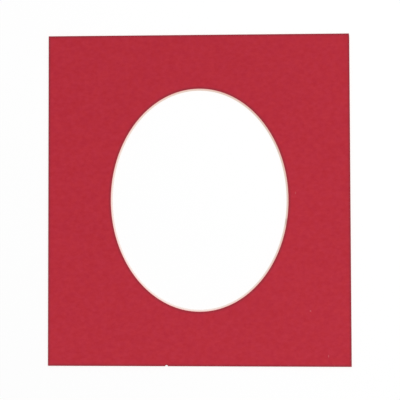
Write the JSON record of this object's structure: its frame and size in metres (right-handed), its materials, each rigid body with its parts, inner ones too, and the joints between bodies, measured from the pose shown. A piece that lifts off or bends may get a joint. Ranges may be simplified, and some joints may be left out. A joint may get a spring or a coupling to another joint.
{
  "type": "oval picture mount",
  "caption": "Flat rectangular sheet of red-faced mount board with an upright oval window, cut on a 45 degree bevel that shows its cream core.",
  "frame": {"origin": "middle of the sheet's outline, on its back, where it lies on the surface", "axes": "+X to the right across the sheet, +Y from its bottom edge to its top edge, +Z out of its coloured face"},
  "size_m": [0.254, 0.2786, 0.0015],
  "materials": {
    "core_board": "matte",
    "face_paper": "matte"
  },
  "bodies": {
    "root": {"core_board": "core_board", "face_paper": "face_paper"}
  },
  "joints": []
}
